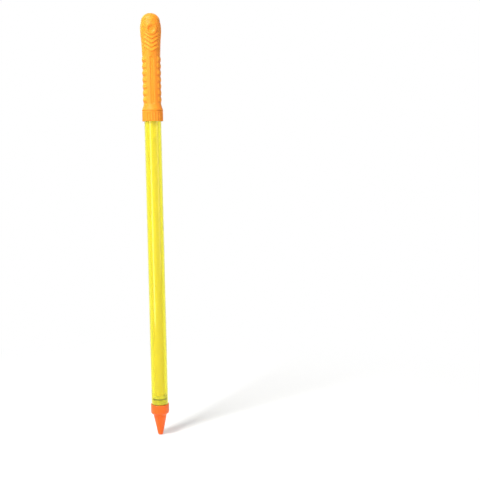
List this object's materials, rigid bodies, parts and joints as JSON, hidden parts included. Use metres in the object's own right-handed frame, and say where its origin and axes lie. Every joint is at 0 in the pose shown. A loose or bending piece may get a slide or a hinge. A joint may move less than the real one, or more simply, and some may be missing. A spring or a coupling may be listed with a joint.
{
  "type": "water squirter",
  "caption": "Long hand pump water squirter with a tapered nozzle, a clear barrel and a sliding plunger on a ribbed straight handle.",
  "frame": {"origin": "middle of the nozzle's tip face, where the water leaves", "axes": "+Z runs along the barrel from the nozzle to the handle, -Y is the front of the handle"},
  "size_m": [0.0372, 0.0378, 0.76],
  "materials": {
    "barrel_plastic": "clear yellow, glossy",
    "nozzle_plastic": "orange, glossy",
    "handle_plastic": "orange, satin",
    "plunger_plastic": "yellow, smooth",
    "inner_plastic": "natural white, plain",
    "seal_rubber": "grey, greased"
  },
  "bodies": {
    "barrel": {"barrel_tube": "barrel_plastic", "nozzle_cone": "nozzle_plastic", "threaded_sleeve": "inner_plastic", "guide_bush": "inner_plastic", "rear_cap": "handle_plastic"},
    "seal": {"piston_o_ring": "seal_rubber"},
    "plunger": {"piston_head": "inner_plastic", "plunger_tube": "plunger_plastic", "tube_plug": "inner_plastic", "handle_socket": "handle_plastic", "handle_grip": "handle_plastic"}
  },
  "joints": [
    {"name": "plunger_slide", "type": "slide", "parent": "barrel", "child": "seal", "axis": [0, 0, 1], "range_m": [0, 0.4965]},
    {"name": "plunger_spin", "type": "hinge", "parent": "seal", "child": "plunger", "pos_m": [0, 0, 0.0671], "axis": [0, 0, 1], "continuous": true}
  ]
}
